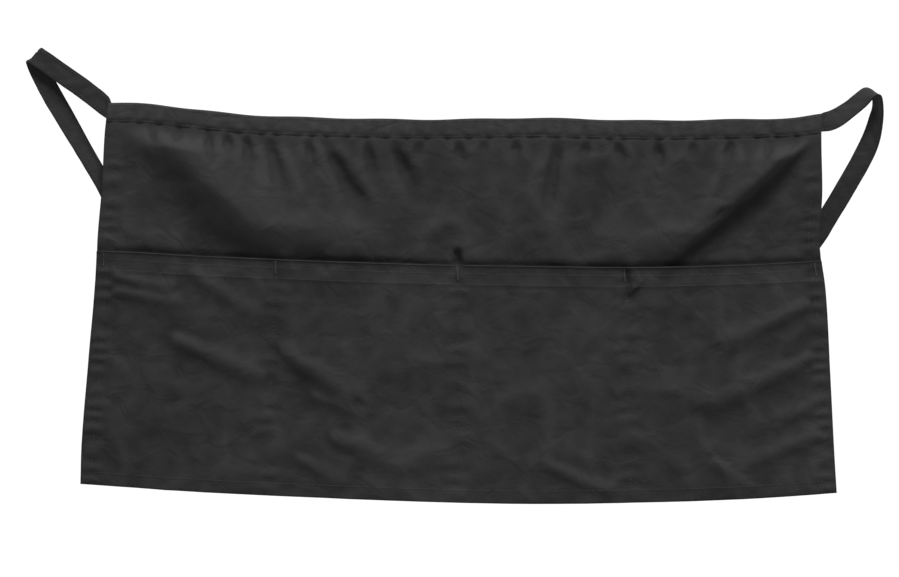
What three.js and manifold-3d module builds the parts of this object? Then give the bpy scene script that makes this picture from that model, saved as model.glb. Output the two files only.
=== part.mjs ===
// A waist apron with four pockets, hung up by its tied waist straps. Millimetres.
// X runs to the wearer's left (the viewer's right), Y from the viewer into the wearer, Z up.
// The origin is the middle of the waistband's back face, where it lies on the waist.
import * as THREE from 'three';
import { mergeVertices } from 'three/addons/utils/BufferGeometryUtils.js';
import Module from 'manifold-3d';

const wasm = await Module();
wasm.setup();

// Cloth and clearances
const CLOTH = 1.0; // one thickness of the twill
const BAND_WALL = 1.2; // one side of the folded waistband
const TIE_THICKNESS = 1.6; // the tie is a strip folded to four layers and sewn flat
const SEWN_GAP = 0.3; // clearance between two pieces that are sewn together
const HEM_STEP = 1.0; // how quickly a hem's extra layer begins

// Apron
const HEM_WIDTH = 610; // across the bottom edge
const TOP_WIDTH = 575; // across the waistband, a little gathered
const APRON_DROP = 310; // top of the band to the bottom edge, at the middle
const BAND_HEIGHT = 16;
const BAND_PUFF = 0.5; // the band's front swells between its two edges
const SIDE_HEM = 11;
const BOTTOM_HEM = 12;
const BAND_BOW = 5; // the band's ends lie this far behind its middle
const FOLD_DEPTH = 8; // the deepest drape fold, from base to crest
const GATHER_DEPTH = 1.4; // the ripples where the cloth is eased into the band
const GATHER_LENGTH = 60; // how far below the band the ripples reach
const GATHER_PITCH = 44; // from one ripple to the next
const WAVE_DEPTH = 1.5; // how far the bottom edge waves back and forth

// Pockets
const POCKET_HEIGHT = 190;
const MOUTH_HEM = 16;
const POCKET_GAPE = 10; // how far the pocket cloth stands off the apron at the mouth

// Ties
const TIE_WIDTH = 16;
const TIE_CROWN = 0.35; // the tie is this much thinner along its two sewn edges
const TIE_SAG = 230; // from the band's level down to the knot
const WAIST_DEPTH = 45; // from the band's ends back to the knot
const KNOT_WIDTH = 22;
const KNOT_HEIGHT = 20;
const KNOT_DEPTH = 13;
const TAIL_LENGTH = 46; // each tie's free end below the knot

// Fineness of the mesh
const POCKET_COLUMNS = [12, 13, 12, 13];
const UPPER_ROWS = 9;
const POCKET_ROWS = 8;
const STEPS_PER_TIE_ROW = 4;
const TIE_COLUMNS = 3;

// The apron's two side edges. down is a share of the drop; left and right are shares of the
// width that the hem has more than the band.
const SIDE_EDGES = [
  { down: 0.0, left: 0.0, right: 0.0 },
  { down: 0.08, left: 0.09, right: 0.0 },
  { down: 0.21, left: 0.15, right: 0.02 },
  { down: 0.34, left: 0.25, right: -0.04 },
  { down: 0.47, left: 0.31, right: 0.1 },
  { down: 0.68, left: 0.47, right: 0.2 },
  { down: 0.89, left: 0.62, right: 0.29 },
  { down: 1.0, left: 0.65, right: 0.35 },
];

// How far the top edge, the pocket mouth and the bottom edge rise above their lowest level, as
// shares of the drop. across is a share of the width, from the viewer's left.
const EDGE_RISES = [
  { across: 0.0, top: 0.043, mouth: 0.043, hem: 0.051 },
  { across: 0.06, top: 0.04, mouth: 0.039, hem: 0.043 },
  { across: 0.12, top: 0.026, mouth: 0.032, hem: 0.035 },
  { across: 0.2, top: 0.011, mouth: 0.025, hem: 0.026 },
  { across: 0.3, top: 0.004, mouth: 0.017, hem: 0.017 },
  { across: 0.45, top: -0.001, mouth: 0.008, hem: 0.006 },
  { across: 0.6, top: 0.003, mouth: 0.003, hem: 0.0 },
  { across: 0.75, top: -0.003, mouth: 0.0, hem: 0.004 },
  { across: 0.88, top: 0.0, mouth: 0.006, hem: 0.012 },
  { across: 0.96, top: 0.004, mouth: 0.013, hem: 0.022 },
  { across: 1.0, top: 0.014, mouth: 0.017, hem: 0.028 },
];

// Drape folds of the upper cloth, each a crest along a line. Places are shares of the hem's
// width and of the drop, breadths are shares of the drop and height a share of the fold depth.
const FOLDS = [
  { fromX: 0.02, fromY: 0.06, toX: 0.31, toY: 0.42, above: 0.13, below: 0.1, height: 1.0 },
  { fromX: 0.99, fromY: 0.06, toX: 0.75, toY: 0.42, above: 0.12, below: 0.06, height: 0.9 },
  { fromX: 0.93, fromY: 0.1, toX: 0.87, toY: 0.22, above: 0.04, below: 0.04, height: 0.3 },
  { fromX: 0.3, fromY: 0.08, toX: 0.35, toY: 0.19, above: 0.05, below: 0.04, height: 0.22 },
  { fromX: 0.63, fromY: 0.08, toX: 0.58, toY: 0.2, above: 0.05, below: 0.05, height: 0.25 },
];

// The folds begin to run out at this share of the way down to the pocket mouth.
const FOLD_HOLD = 0.7;

// Dents and soft creases of the pocket cloth alone, in the same columns.
const POCKET_CREASES = [
  { fromX: 0.14, fromY: 0.44, toX: 0.22, toY: 0.52, above: 0.04, below: 0.04, height: 0.16 },
  { fromX: 0.16, fromY: 0.62, toX: 0.25, toY: 0.69, above: 0.04, below: 0.05, height: 0.2 },
  { fromX: 0.27, fromY: 0.62, toX: 0.36, toY: 0.72, above: 0.05, below: 0.04, height: 0.22 },
  { fromX: 0.34, fromY: 0.84, toX: 0.42, toY: 0.9, above: 0.04, below: 0.04, height: 0.16 },
  { fromX: 0.62, fromY: 0.9, toX: 0.7, toY: 0.96, above: 0.03, below: 0.04, height: 0.14 },
  { fromX: 0.97, fromY: 0.5, toX: 0.86, toY: 0.58, above: 0.04, below: 0.04, height: 0.2 },
  { fromX: 0.97, fromY: 0.64, toX: 0.84, toY: 0.74, above: 0.04, below: 0.05, height: 0.22 },
  { fromX: 0.98, fromY: 0.84, toX: 0.88, toY: 0.9, above: 0.04, below: 0.05, height: 0.18 },
];

// The bottom edge's waves: across is a share of the width, reach a share of the wave's depth.
const HEM_WAVES = [
  { across: 0.0, reach: -0.3 },
  { across: 0.12, reach: 0.5 },
  { across: 0.25, reach: 0.1 },
  { across: 0.38, reach: -0.6 },
  { across: 0.5, reach: 0.1 },
  { across: 0.62, reach: 0.6 },
  { across: 0.74, reach: -0.2 },
  { across: 0.88, reach: -0.5 },
  { across: 1.0, reach: 0.4 },
];

// The seams that divide the pockets, as shares of the width, with the two side edges.
const POCKET_SEAMS = [0, 0.247, 0.497, 0.727, 1];

// The two ties, from the band's end over the turn at the top to the knot. out is a share of half
// the band's width, up a share of the tie's sag, back a share of the waist depth. slant is the
// direction across the tie as the viewer sees it, and turn how far that leans into the depth,
// both in degrees.
const LEFT_TIE = [
  { out: 1.016, up: 0.088, back: 0.0, slant: 64, turn: 0 },
  { out: 1.078, up: 0.148, back: 0.0, slant: 55, turn: 0 },
  { out: 1.148, up: 0.21, back: -0.01, slant: 54, turn: 0 },
  { out: 1.19, up: 0.247, back: -0.03, slant: 48, turn: 0 },
  { out: 1.21, up: 0.258, back: 0.025, slant: 42, turn: 0 },
  { out: 1.2, up: 0.218, back: 0.085, slant: 35, turn: 0 },
  { out: 1.166, up: 0.134, back: 0.11, slant: 30, turn: 8 },
  { out: 1.12, up: 0.033, back: 0.15, slant: 30, turn: 24 },
  { out: 1.072, up: -0.072, back: 0.2, slant: 30, turn: 38 },
  { out: 1.023, up: -0.178, back: 0.27, slant: 31, turn: 42 },
  { out: 0.957, up: -0.33, back: 0.36, slant: 34, turn: 36 },
  { out: 0.817, up: -0.548, back: 0.52, slant: 45, turn: 24 },
  { out: 0.626, up: -0.74, back: 0.7, slant: 56, turn: 10 },
  { out: 0.417, up: -0.883, back: 0.85, slant: 66, turn: 0 },
  { out: 0.209, up: -0.97, back: 0.96, slant: 77, turn: 0 },
];
const RIGHT_TIE = [
  { out: 1.036, up: 0.035, back: 0.0, slant: 112, turn: 16 },
  { out: 1.078, up: 0.069, back: -0.01, slant: 122, turn: 34 },
  { out: 1.107, up: 0.099, back: -0.02, slant: 128, turn: 38 },
  { out: 1.135, up: 0.129, back: -0.01, slant: 134, turn: 50 },
  { out: 1.154, up: 0.124, back: 0.03, slant: 143, turn: 60 },
  { out: 1.16, up: 0.08, back: 0.08, slant: 150, turn: 62 },
  { out: 1.155, up: 0.032, back: 0.12, slant: 155, turn: 50 },
  { out: 1.142, up: -0.032, back: 0.145, slant: 156, turn: 32 },
  { out: 1.119, up: -0.097, back: 0.165, slant: 153, turn: 12 },
  { out: 1.073, up: -0.2, back: 0.19, slant: 152, turn: 0 },
  { out: 1.027, up: -0.297, back: 0.23, slant: 151, turn: 0 },
  { out: 0.966, up: -0.414, back: 0.31, slant: 145, turn: 0 },
  { out: 0.83, up: -0.6, back: 0.48, slant: 134, turn: 0 },
  { out: 0.63, up: -0.765, back: 0.68, slant: 122, turn: 0 },
  { out: 0.42, up: -0.895, back: 0.84, slant: 111, turn: 0 },
  { out: 0.2, up: -0.975, back: 0.96, slant: 100, turn: 0 },
];

// A smooth curve through a table's rows, read at a value of its key column.
function readTable(table, key, column, at) {
  const last = table.length - 1;
  let i = 0;
  while (i < last - 1 && at > table[i + 1][key]) {
    i += 1;
  }
  const span = (a, b) => table[b][key] - table[a][key];
  const slope = (a, b) => (table[b][column] - table[a][column]) / span(a, b);
  const share = THREE.MathUtils.clamp((at - table[i][key]) / span(i, i + 1), 0, 1);
  const here = slope(Math.max(i - 1, 0), i + 1);
  const next = slope(i, Math.min(i + 2, last));
  return hermite(table[i][column], table[i + 1][column], here, next, span(i, i + 1), share);
}

function hermite(start, end, startSlope, endSlope, span, share) {
  const s2 = share * share;
  const s3 = s2 * share;
  const fromValues = (2 * s3 - 3 * s2 + 1) * start + (3 * s2 - 2 * s3) * end;
  const fromSlopes = (s3 - 2 * s2 + share) * startSlope + (s3 - s2) * endSlope;
  return fromValues + fromSlopes * span;
}

const { smoothstep, lerp, degToRad } = THREE.MathUtils;
const bandShare = BAND_HEIGHT / APRON_DROP;
const mouthShare = 1 - POCKET_HEIGHT / APRON_DROP;
const topLevel = BAND_HEIGHT / 2;
const bandDepth = CLOTH + 2 * SEWN_GAP + 2 * BAND_WALL;
const halfTop = TOP_WIDTH / 2;

// Where the apron's cloth lies, at a share across and a share down
function clothX(across, down) {
  const extra = HEM_WIDTH - TOP_WIDTH;
  const left = -halfTop - extra * readTable(SIDE_EDGES, 'down', 'left', down);
  const right = halfTop + extra * readTable(SIDE_EDGES, 'down', 'right', down);
  return lerp(left, right, across);
}

function clothZ(across, down) {
  const rise = (edge) => readTable(EDGE_RISES, 'across', edge, across);
  const above = lerp(rise('top'), rise('mouth'), down / mouthShare);
  const below = lerp(rise('mouth'), rise('hem'), (down - mouthShare) / (1 - mouthShare));
  return topLevel + APRON_DROP * ((down < mouthShare ? above : below) - down);
}

// The middle of the band's slot, seen from above
function bandY(across) {
  return -bandDepth / 2 + BAND_BOW * (2 * across - 1) ** 2;
}

// How far one fold's crest stands forward at a place
function foldHeight(fold, across, down) {
  const start = new THREE.Vector2(fold.fromX * HEM_WIDTH, fold.fromY * APRON_DROP);
  const end = new THREE.Vector2(fold.toX * HEM_WIDTH, fold.toY * APRON_DROP);
  const place = new THREE.Vector2(across * HEM_WIDTH, down * APRON_DROP).sub(start);
  const along = end.clone().sub(start);
  const length = along.length();
  along.normalize();
  const travelled = place.dot(along);
  const aside = (along.x * place.y - along.y * place.x) * Math.sign(along.x);
  const breadth = (aside < 0 ? fold.above : fold.below) * APRON_DROP;
  const beyond = Math.max(-travelled, travelled - length, 0);
  const across2 = (aside / breadth) ** 2;
  const beyond2 = (beyond / breadth) ** 2;
  return FOLD_DEPTH * fold.height * Math.exp(-across2 - beyond2);
}

function gatherHeight(across, down) {
  const below = (down - bandShare) * APRON_DROP;
  const ripple = Math.cos((2 * Math.PI * across * TOP_WIDTH) / GATHER_PITCH);
  const fade = smoothstep(below, 0, GATHER_LENGTH / 4) * (1 - smoothstep(below, 0, GATHER_LENGTH));
  return GATHER_DEPTH * ripple * fade;
}

// The middle of the apron's one layer of cloth, in the depth. The drape folds run out towards the
// pocket mouth, where the two layers hold each other nearly flat.
function clothY(across, down) {
  const loose = smoothstep(down, bandShare, bandShare * 2.5);
  const sides = smoothstep(across, 0, 0.03) * (1 - smoothstep(across, 0.97, 1));
  const held = 1 - smoothstep(down, FOLD_HOLD * mouthShare, mouthShare);
  let forward = gatherHeight(across, down);
  for (const fold of FOLDS) {
    forward += loose * held * lerp(0.35, 1, sides) * foldHeight(fold, across, down);
  }
  const wave = WAVE_DEPTH * readTable(HEM_WAVES, 'across', 'reach', across) * down ** 2;
  return bandY(across) - forward - wave;
}

// How far the pocket cloth stands off the apron behind it
function pocketGap(across, down) {
  const next = POCKET_SEAMS.findIndex((seam) => seam >= across);
  const right = Math.max(next, 1);
  const share = (across - POCKET_SEAMS[right - 1]) / (POCKET_SEAMS[right] - POCKET_SEAMS[right - 1]);
  const depth = (down - mouthShare) / (1 - mouthShare);
  const belly = Math.sin(Math.PI * THREE.MathUtils.clamp(share, 0, 1)) ** 0.7;
  const close = Math.max(1 - depth ** 1.6, 0);
  let crease = 0;
  for (const fold of POCKET_CREASES) {
    crease += foldHeight(fold, across, down);
  }
  return SEWN_GAP + POCKET_GAPE * belly * close + Math.max(crease, 0) * belly * Math.sqrt(close);
}

// Shares across for the columns: every pocket seam, and both sides of each side hem's step
function columnShares() {
  const shares = [0];
  for (let pocket = 1; pocket < POCKET_SEAMS.length; pocket += 1) {
    const count = POCKET_COLUMNS[pocket - 1];
    for (let i = 1; i <= count; i += 1) {
      shares.push(lerp(POCKET_SEAMS[pocket - 1], POCKET_SEAMS[pocket], i / count));
    }
  }
  const hem = SIDE_HEM / HEM_WIDTH;
  const step = (SIDE_HEM + HEM_STEP) / HEM_WIDTH;
  const inner = shares.filter((share) => share > step * 1.2 && share < 1 - step * 1.2);
  return [0, hem, step, ...inner, 1 - step, 1 - hem, 1];
}

// Shares down for the rows of the pockets, which the apron behind them has too
function pocketRowShares() {
  const hem = mouthShare + MOUTH_HEM / APRON_DROP;
  const step = mouthShare + (MOUTH_HEM + HEM_STEP) / APRON_DROP;
  const foot = 1 - (BOTTOM_HEM + HEM_STEP) / APRON_DROP;
  const shares = [mouthShare, hem, step];
  for (let i = 1; i <= POCKET_ROWS; i += 1) {
    shares.push(lerp(step, foot, i / POCKET_ROWS));
  }
  shares.push(1 - BOTTOM_HEM / APRON_DROP, 1);
  return shares;
}

function upperRowShares() {
  const shares = [(BAND_WALL + SEWN_GAP) / APRON_DROP];
  for (let i = 0; i < UPPER_ROWS; i += 1) {
    shares.push(lerp(bandShare, mouthShare, i / UPPER_ROWS));
  }
  return shares;
}

// The shares from one place to another. Two pieces that meet there each stop half a clearance
// short of it. size is the length that the shares are of.
function sharesBetween(shares, from, to, size) {
  const inset = SEWN_GAP / 2 / size;
  const start = from > shares[0] ? from + inset : from;
  const end = to < shares[shares.length - 1] ? to - inset : to;
  return [start, ...shares.filter((share) => share > start + inset && share < end - inset), end];
}

// A closed wall between a front and a back grid of points. Columns run to the viewer's right
// and rows run down, and frontAt and backAt give a point for a column and a row.
function wallGeometry(columnCount, rowCount, frontAt, backAt) {
  const points = [];
  for (const pointAt of [frontAt, backAt]) {
    for (let row = 0; row < rowCount; row += 1) {
      for (let column = 0; column < columnCount; column += 1) {
        points.push(...pointAt(column, row));
      }
    }
  }
  const front = (column, row) => row * columnCount + column;
  const back = (column, row) => rowCount * columnCount + front(column, row);
  const faces = [];
  const quad = (a, b, c, d) => faces.push(a, b, c, a, c, d);
  for (let row = 0; row < rowCount - 1; row += 1) {
    for (let column = 0; column < columnCount - 1; column += 1) {
      const corners = [[column, row], [column, row + 1], [column + 1, row + 1], [column + 1, row]];
      quad(...corners.map((corner) => front(...corner)));
      quad(...corners.map((corner) => back(...corner)).reverse());
    }
  }
  const border = [];
  for (let row = 0; row < rowCount - 1; row += 1) {
    border.push([[0, row], [0, row + 1]]);
    border.push([[columnCount - 1, row + 1], [columnCount - 1, row]]);
  }
  for (let column = 0; column < columnCount - 1; column += 1) {
    border.push([[column, rowCount - 1], [column + 1, rowCount - 1]]);
    border.push([[column + 1, 0], [column, 0]]);
  }
  for (const [from, to] of border) {
    quad(front(...to), front(...from), back(...from), back(...to));
  }
  return closedGeometry(points, faces);
}

function closedGeometry(points, faces) {
  const geometry = new THREE.BufferGeometry();
  geometry.setAttribute('position', new THREE.Float32BufferAttribute(points, 3));
  geometry.setIndex(faces);
  geometry.computeVertexNormals();
  return geometry;
}

// The apron's cloth from one share down to another. It parts behind the hem of the pocket mouth.
function bodyGeometry(rows) {
  const columns = columnShares();
  const hem = SIDE_HEM / HEM_WIDTH + 1e-6;
  const foot = 1 - BOTTOM_HEM / APRON_DROP - 1e-6;
  const place = (column, row) => [columns[column], rows[row]];
  const isHem = ([across, down]) =>
    down > bandShare * 1.01 && (across <= hem || across >= 1 - hem || down >= foot);
  const frontAt = (column, row) => {
    const at = place(column, row);
    return [clothX(...at), clothY(...at) - CLOTH / 2, clothZ(...at)];
  };
  const backAt = (column, row) => {
    const at = place(column, row);
    const layers = isHem(at) ? 2 : 1;
    return [clothX(...at), clothY(...at) - CLOTH / 2 + CLOTH * layers, clothZ(...at)];
  };
  return wallGeometry(columns.length, rows.length, frontAt, backAt);
}

// The pocket cloth from one upright seam to the next
function pocketGeometry(pocket) {
  const left = POCKET_SEAMS[pocket];
  const right = POCKET_SEAMS[pocket + 1];
  const columns = sharesBetween(columnShares(), left, right, HEM_WIDTH);
  const rows = pocketRowShares();
  const hem = mouthShare + MOUTH_HEM / APRON_DROP + 1e-6;
  const place = (column, row) => [columns[column], rows[row]];
  const backY = (at) => clothY(...at) - CLOTH / 2 - pocketGap(...at);
  const backAt = (column, row) => {
    const at = place(column, row);
    return [clothX(...at), backY(at), clothZ(...at)];
  };
  const frontAt = (column, row) => {
    const at = place(column, row);
    const layers = at[1] <= hem ? 2 : 1;
    return [clothX(...at), backY(at) - CLOTH * layers, clothZ(...at)];
  };
  return wallGeometry(columns.length, rows.length, frontAt, backAt);
}

// The waistband is a folded strip, open below, that holds the apron's top edge in its slot.
function bandOutline() {
  const out = bandDepth / 2;
  const slot = out - BAND_WALL;
  const round = BAND_WALL / 2;
  return [
    { y: -out, below: BAND_HEIGHT },
    { y: -slot, below: BAND_HEIGHT },
    { y: -slot, below: BAND_WALL },
    { y: slot, below: BAND_WALL },
    { y: slot, below: BAND_HEIGHT },
    { y: out, below: BAND_HEIGHT },
    { y: out, below: round },
    { y: out - round, below: 0 },
    { y: round - out, below: 0 },
    { y: -out, below: round },
    { y: -out - BAND_PUFF, below: BAND_HEIGHT / 2 },
  ];
}

function bandGeometry() {
  const outline = bandOutline();
  const columns = columnShares();
  const points = [];
  for (const across of columns) {
    for (const corner of outline) {
      const down = corner.below / APRON_DROP;
      points.push(clothX(across, down), bandY(across) + corner.y, clothZ(across, down));
    }
  }
  const count = outline.length;
  const faces = [];
  for (let column = 0; column < columns.length - 1; column += 1) {
    for (let i = 0; i < count; i += 1) {
      const next = (i + 1) % count;
      const here = column * count;
      const there = here + count;
      faces.push(here + i, here + next, there + next, here + i, there + next, there + i);
    }
  }
  const flat = outline.map((corner) => new THREE.Vector2(corner.y, -corner.below));
  const cap = THREE.ShapeUtils.triangulateShape(flat, []);
  const end = (columns.length - 1) * count;
  for (const [a, b, c] of cap) {
    faces.push(c, b, a, end + a, end + b, end + c);
  }
  return closedGeometry(points, faces);
}

// The direction across a tie, from its slant in the viewer's plane and its turn into the depth
function acrossTie(slant, turn) {
  const flat = Math.cos(degToRad(turn));
  const rise = degToRad(slant);
  return new THREE.Vector3(Math.cos(rise) * flat, Math.sin(degToRad(turn)), Math.sin(rise) * flat);
}

// A tie's rows, with its sewn end at the band and its end at the knot added to the table
function tieRows(table, side) {
  const edge = side < 0 ? 0 : 1;
  const middle = BAND_HEIGHT / 2 / APRON_DROP;
  const bandEnd = new THREE.Vector3(clothX(edge, middle), bandY(edge), clothZ(edge, middle));
  const top = new THREE.Vector2(clothX(edge, 0), clothZ(edge, 0));
  const foot = new THREE.Vector2(clothX(edge, bandShare), clothZ(edge, bandShare));
  const endSlant = THREE.MathUtils.radToDeg(top.sub(foot).angle());
  const rows = table.map((row) => ({
    x: side * halfTop * row.out,
    y: bandEnd.y + WAIST_DEPTH * row.back,
    z: TIE_SAG * row.up,
    slant: row.slant,
    turn: row.turn,
  }));
  const fromBand = side * SEWN_GAP;
  const sewn = { x: bandEnd.x + fromBand, y: bandEnd.y, z: bandEnd.z, slant: endSlant, turn: 0 };
  const atKnot = {
    x: side * (KNOT_WIDTH / 2 + SEWN_GAP),
    y: bandEnd.y + WAIST_DEPTH,
    z: -TIE_SAG,
    slant: 90,
    turn: 0,
  };
  return [sewn, ...rows, atKnot].map((row, step) => ({ ...row, step }));
}

// A tie follows its rows. Its edges are thinner than its middle.
function tieGeometry(table, side) {
  const rows = tieRows(table, side);
  const count = (rows.length - 1) * STEPS_PER_TIE_ROW + 1;
  const read = (column, step) => readTable(rows, 'step', column, step);
  const middleAt = (step) => new THREE.Vector3(read('x', step), read('y', step), read('z', step));
  const sections = [];
  for (let i = 0; i < count; i += 1) {
    const step = i / STEPS_PER_TIE_ROW;
    const before = Math.max(step - 0.05, 0);
    const after = Math.min(step + 0.05, rows.length - 1);
    const along = middleAt(after).sub(middleAt(before)).normalize();
    const across = acrossTie(read('slant', step), read('turn', step));
    const face = along.clone().cross(across).normalize();
    sections.push({ middle: middleAt(step), across, face });
  }
  const pointAt = (sideOfFace) => (column, row) => {
    const { middle, across, face } = sections[row];
    const share = (2 * column) / TIE_COLUMNS - 1;
    const half = TIE_THICKNESS / 2 - TIE_CROWN * (Math.abs(share) > 0.9 ? 1 : 0);
    return middle
      .clone()
      .addScaledVector(across, (share * TIE_WIDTH) / 2)
      .addScaledVector(face, sideOfFace * half)
      .toArray();
  };
  return wallGeometry(TIE_COLUMNS + 1, count, pointAt(1), pointAt(-1));
}

function toSolid(geometry) {
  const plain = geometry.clone();
  plain.deleteAttribute('normal');
  plain.deleteAttribute('uv');
  const merged = mergeVertices(plain);
  const vertProperties = new Float32Array(merged.attributes.position.array);
  const triVerts = new Uint32Array(merged.index.array);
  return new wasm.Manifold(new wasm.Mesh({ numProp: 3, vertProperties, triVerts }));
}

function fromSolid(solid) {
  const mesh = solid.getMesh();
  return closedGeometry(Array.from(mesh.vertProperties), Array.from(mesh.triVerts));
}

// A pillow of cloth: a ball pressed towards a box
function pillowGeometry(width, depth, height) {
  const squareness = 0.6;
  const geometry = new THREE.SphereGeometry(1, 16, 12);
  const place = geometry.attributes.position;
  const press = (value) => Math.sign(value) * Math.abs(value) ** squareness;
  for (let i = 0; i < place.count; i += 1) {
    const x = (press(place.getX(i)) * width) / 2;
    const y = (press(place.getZ(i)) * -depth) / 2;
    const z = (press(place.getY(i)) * height) / 2;
    place.setXYZ(i, x, y, z);
  }
  return geometry;
}

// The knot, with each tie's free end hanging from it
function knotGeometry() {
  const tailSpread = degToRad(9);
  const tailOffset = KNOT_WIDTH / 6;
  let knot = toSolid(pillowGeometry(KNOT_WIDTH, KNOT_DEPTH, KNOT_HEIGHT));
  for (const side of [-1, 1]) {
    const tail = new THREE.BoxGeometry(TIE_WIDTH, TIE_THICKNESS, TAIL_LENGTH + KNOT_HEIGHT / 2);
    tail.translate(0, (side * KNOT_DEPTH) / 6, -(TAIL_LENGTH + KNOT_HEIGHT / 2) / 2);
    tail.rotateY(-side * tailSpread);
    tail.translate(side * tailOffset, 0, 0);
    knot = knot.add(toSolid(tail));
  }
  const geometry = fromSolid(knot);
  geometry.translate(0, bandY(0) + WAIST_DEPTH, -TIE_SAG);
  return geometry;
}

function clothMaterial(colour) {
  return new THREE.MeshStandardMaterial({ color: colour, roughness: 0.9, metalness: 0 });
}

const apron = new THREE.Group();

function addPiece(name, geometry, colour) {
  const mesh = new THREE.Mesh(geometry, clothMaterial(colour));
  mesh.name = name;
  apron.add(mesh);
}

const clothRows = [...upperRowShares(), ...pocketRowShares()];
const parting = mouthShare + MOUTH_HEM / 2 / APRON_DROP;
const upperRows = sharesBetween(clothRows, clothRows[0], parting, APRON_DROP);
const lowerRows = sharesBetween(clothRows, parting, 1, APRON_DROP);
addPiece('upper_panel', bodyGeometry(upperRows), 0x2f2f2f);
addPiece('lower_panel', bodyGeometry(lowerRows), 0x2f2f2f);
for (let pocket = 0; pocket < POCKET_COLUMNS.length; pocket += 1) {
  addPiece(`pocket_panel_${pocket + 1}`, pocketGeometry(pocket), 0x313131);
}
addPiece('waistband', bandGeometry(), 0x3a3a3a);
addPiece('tie_left', tieGeometry(LEFT_TIE, -1), 0x2a2a2a);
addPiece('tie_right', tieGeometry(RIGHT_TIE, 1), 0x2a2a2a);
addPiece('tie_knot', knotGeometry(), 0x2a2a2a);

export default apron;
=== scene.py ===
# A black twill waist apron with four pockets, hung up by its tied waist straps. Metres.
import math

import bpy
import numpy as np
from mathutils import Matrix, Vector, noise


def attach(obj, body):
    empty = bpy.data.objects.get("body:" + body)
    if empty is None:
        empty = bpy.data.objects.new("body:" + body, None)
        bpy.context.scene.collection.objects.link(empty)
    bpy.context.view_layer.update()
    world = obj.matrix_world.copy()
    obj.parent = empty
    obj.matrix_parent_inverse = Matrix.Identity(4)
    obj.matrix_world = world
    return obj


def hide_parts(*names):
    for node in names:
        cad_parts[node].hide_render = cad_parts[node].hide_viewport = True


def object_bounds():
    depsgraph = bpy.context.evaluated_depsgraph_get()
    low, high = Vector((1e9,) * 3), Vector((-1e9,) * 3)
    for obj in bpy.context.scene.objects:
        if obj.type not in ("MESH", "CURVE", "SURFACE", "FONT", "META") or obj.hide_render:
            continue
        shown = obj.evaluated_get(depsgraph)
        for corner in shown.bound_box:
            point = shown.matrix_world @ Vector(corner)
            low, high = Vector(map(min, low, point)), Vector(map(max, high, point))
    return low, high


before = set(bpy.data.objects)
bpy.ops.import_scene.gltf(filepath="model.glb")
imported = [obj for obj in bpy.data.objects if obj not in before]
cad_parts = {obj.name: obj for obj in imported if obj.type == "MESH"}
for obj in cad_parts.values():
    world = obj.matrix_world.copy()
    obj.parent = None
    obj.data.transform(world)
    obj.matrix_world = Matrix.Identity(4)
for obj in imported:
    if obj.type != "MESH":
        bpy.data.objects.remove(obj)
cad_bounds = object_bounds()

MM = 0.001

# Cloth and clearances, as in the solids
CLOTH = 1.0 * MM
BAND_WALL = 1.2 * MM
TIE_THICKNESS = 1.6 * MM
SEWN_GAP = 0.3 * MM

# Apron
HEM_WIDTH = 610 * MM
TOP_WIDTH = 575 * MM
APRON_DROP = 310 * MM
BAND_HEIGHT = 16 * MM
SIDE_HEM = 11 * MM
BOTTOM_HEM = 12 * MM
BAND_BOW = 5 * MM
FOLD_DEPTH = 8 * MM
WAVE_DEPTH = 1.5 * MM

# Pockets
POCKET_HEIGHT = 190 * MM
MOUTH_HEM = 16 * MM
POCKET_GAPE = 10 * MM
HEM_RISE = 0.4 * MM
LIP_FLARE = 1.1 * MM
PRESSED_IN = 1.6 * MM

# Ties
TIE_WIDTH = 16 * MM
TIE_SAG = 230 * MM
TUCKED_IN = 3 * MM
WAIST_DEPTH = 45 * MM
KNOT_WIDTH = 22 * MM
KNOT_HEIGHT = 20 * MM
KNOT_DEPTH = 13 * MM
TAIL_LENGTH = 46 * MM

# Sewing and weave. HEM_STITCH is a share of the hem, from its edge.
STITCH_PITCH = 2.9 * MM
THREAD_WIDTH = 0.42 * MM
HEM_STITCH = 0.86
BAND_STITCH = BAND_HEIGHT - 1.6 * MM
RIB_PITCH = 0.75 * MM

# The photograph: its width and its scale in pixels, and where the camera stands
PHOTO_WIDTH = 899
PIXELS_PER_METRE = 1241
CAMERA_PLACE = (-12.5 * MM, -3.0, -128.5 * MM)

BAND_SHARE = BAND_HEIGHT / APRON_DROP
MOUTH_SHARE = 1 - POCKET_HEIGHT / APRON_DROP
BAND_DEPTH = CLOTH + 2 * SEWN_GAP + 2 * BAND_WALL
TOP_LEVEL = BAND_HEIGHT / 2


def table(columns, *rows):
    """A table with a name for each column."""
    names = columns.split()
    return [dict(zip(names, row)) for row in rows]


SIDE_EDGES = table(
    "down left right",
    (0.0, 0.0, 0.0),
    (0.08, 0.09, 0.0),
    (0.21, 0.15, 0.02),
    (0.34, 0.25, -0.04),
    (0.47, 0.31, 0.1),
    (0.68, 0.47, 0.2),
    (0.89, 0.62, 0.29),
    (1.0, 0.65, 0.35),
)

EDGE_RISES = table(
    "across top mouth hem",
    (0.0, 0.043, 0.043, 0.051),
    (0.06, 0.04, 0.039, 0.043),
    (0.12, 0.026, 0.032, 0.035),
    (0.2, 0.011, 0.025, 0.026),
    (0.3, 0.004, 0.017, 0.017),
    (0.45, -0.001, 0.008, 0.006),
    (0.6, 0.003, 0.003, 0.0),
    (0.75, -0.003, 0.0, 0.004),
    (0.88, 0.0, 0.006, 0.012),
    (0.96, 0.004, 0.013, 0.022),
    (1.0, 0.014, 0.017, 0.028),
)

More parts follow.
